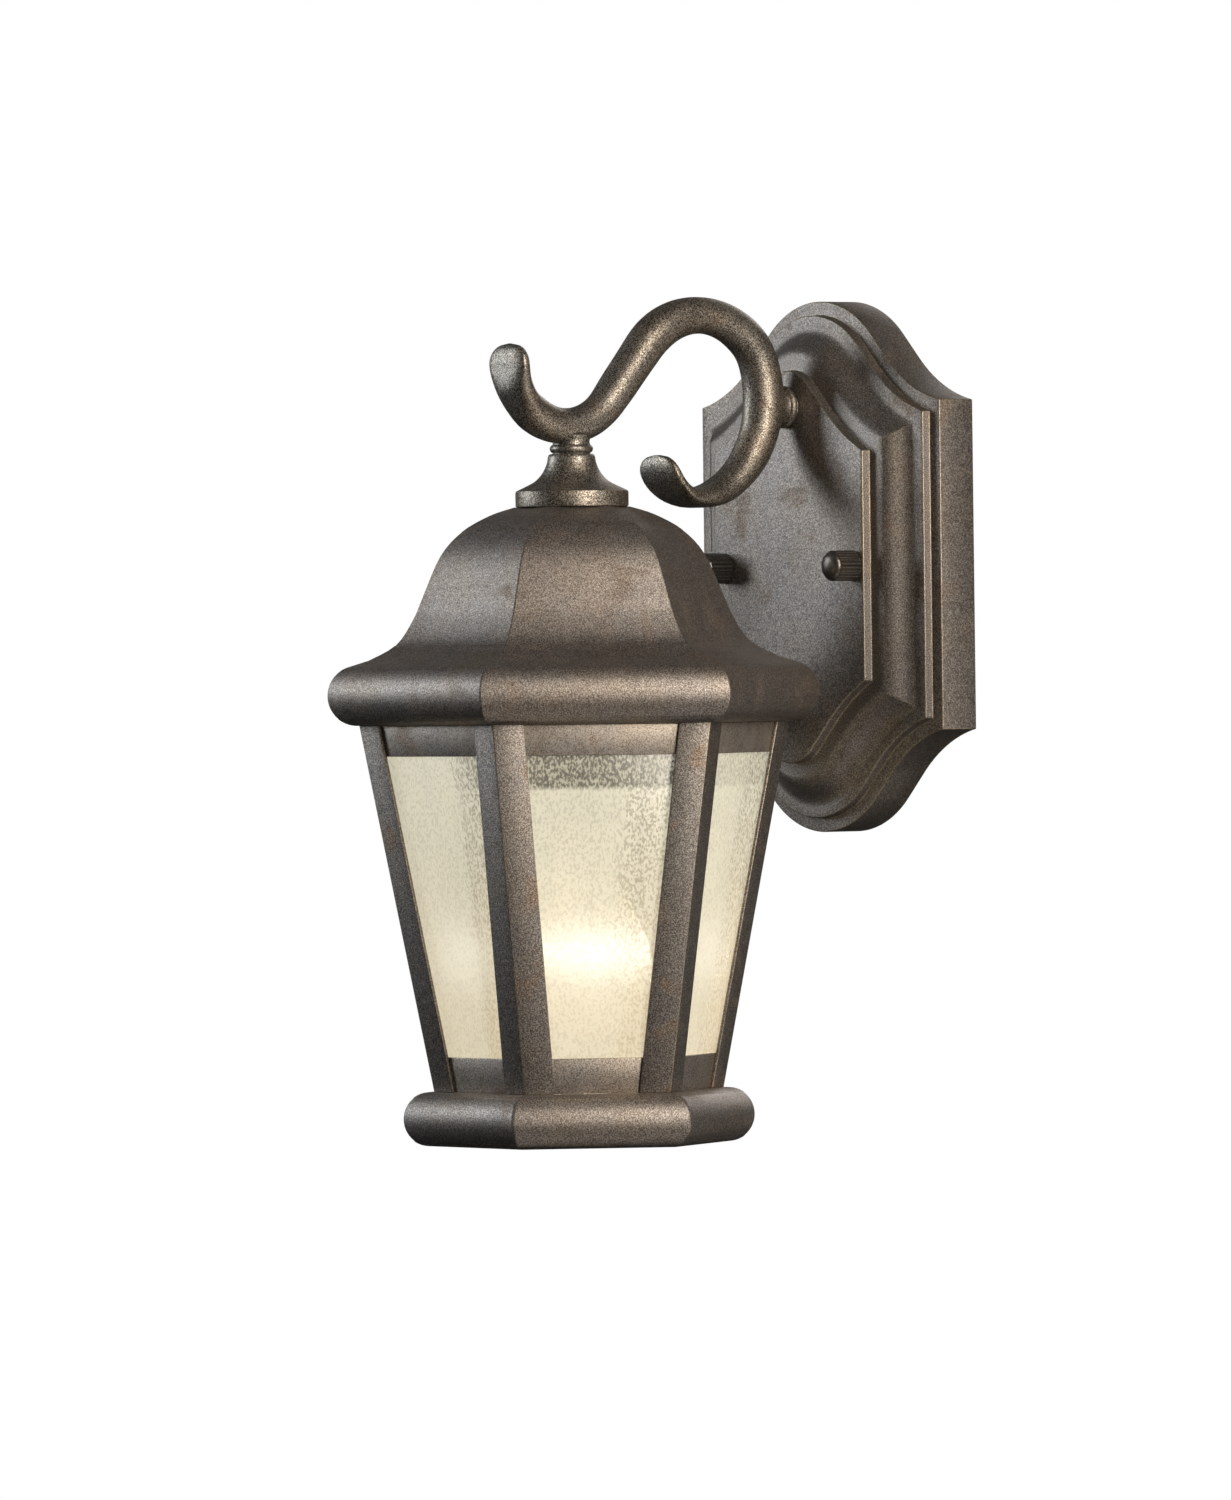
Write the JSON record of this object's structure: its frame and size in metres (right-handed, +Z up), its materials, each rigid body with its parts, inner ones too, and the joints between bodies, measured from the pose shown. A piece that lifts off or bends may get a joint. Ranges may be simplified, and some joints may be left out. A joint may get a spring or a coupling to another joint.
{
  "type": "outdoor wall lantern",
  "caption": "Wall lantern with a stepped arched backplate, a cast scroll arm, a hexagonal bell roof, a tapered glazed cage and a half-round base.",
  "frame": {"origin": "on the wall plane, at the middle height and middle width of the backplate", "axes": "+Z up, -Y out of the wall, +X to the right of a person who faces the lantern"},
  "size_m": [0.1996, 0.2326, 0.3398],
  "materials": {
    "bronze_cast": "cast aluminium, speckled dark bronze paint, worn edges",
    "bronze_sheet": "sheet steel, speckled dark bronze paint",
    "seeded_glass": "seeded, faintly amber, vertical ripple",
    "zinc_steel": "zinc-plated steel",
    "green_screw": "green ground screw",
    "phenolic": "moulded phenolic",
    "brass": "plain brass",
    "lamp_glass": "clear lamp glass, lit",
    "lamp_cap": "plain aluminium screw cap",
    "filament": "glowing filament",
    "black_wire": "black insulation",
    "white_wire": "white insulation",
    "copper": "bare copper"
  },
  "bodies": {
    "fixture": {"backplate": "bronze_cast", "arm": "bronze_cast", "neck_bell": "bronze_cast", "roof": "bronze_cast", "base_ring": "bronze_cast", "post_1": "bronze_sheet", "post_2": "bronze_sheet", "post_3": "bronze_sheet", "post_4": "bronze_sheet", "post_5": "bronze_sheet", "post_6": "bronze_sheet", "top_rail_1": "bronze_sheet", "top_rail_2": "bronze_sheet", "top_rail_3": "bronze_sheet", "top_rail_4": "bronze_sheet", "top_rail_5": "bronze_sheet", "top_rail_6": "bronze_sheet", "bottom_rail_1": "bronze_sheet", "bottom_rail_2": "bronze_sheet", "bottom_rail_3": "bronze_sheet", "bottom_rail_4": "bronze_sheet", "bottom_rail_5": "bronze_sheet", "bottom_rail_6": "bronze_sheet", "pane_1": "seeded_glass", "pane_2": "seeded_glass", "pane_3": "seeded_glass", "pane_4": "seeded_glass", "pane_5": "seeded_glass", "pane_6": "seeded_glass", "crossbar": "zinc_steel", "stud_left": "zinc_steel", "stud_right": "zinc_steel", "stud_nut_left": "zinc_steel", "stud_nut_right": "zinc_steel", "arm_nipple": "zinc_steel", "arm_washer": "zinc_steel", "arm_lock_nut": "zinc_steel", "neck_nipple": "zinc_steel", "cage_strap": "zinc_steel", "strap_washer": "zinc_steel", "neck_lock_nut": "zinc_steel", "ground_screw": "green_screw", "socket_cap": "phenolic", "socket_body": "phenolic", "socket_shell": "brass", "socket_contact": "brass", "wire_black": "black_wire", "wire_white": "white_wire", "ground_wire": "copper"},
    "cap_nut_left": {"cap_nut_left": "bronze_cast"},
    "cap_nut_right": {"cap_nut_right": "bronze_cast"},
    "bulb": {"bulb_glass": "lamp_glass", "bulb_stem": "lamp_glass", "bulb_cap": "lamp_cap", "bulb_contact": "lamp_cap", "bulb_filament": "filament"}
  },
  "joints": [
    {"name": "bulb_unscrew", "type": "hinge", "parent": "fixture", "child": "bulb", "pos_m": [0, -0.1462, -0.08], "axis": [0, 0, -1], "continuous": true},
    {"name": "cap_nut_left_turn", "type": "hinge", "parent": "fixture", "child": "cap_nut_left", "pos_m": [-0.0413, -0.035, 0], "axis": [0, -1, 0], "continuous": true},
    {"name": "cap_nut_right_turn", "type": "hinge", "parent": "fixture", "child": "cap_nut_right", "pos_m": [0.0413, -0.035, 0], "axis": [0, -1, 0], "continuous": true}
  ]
}
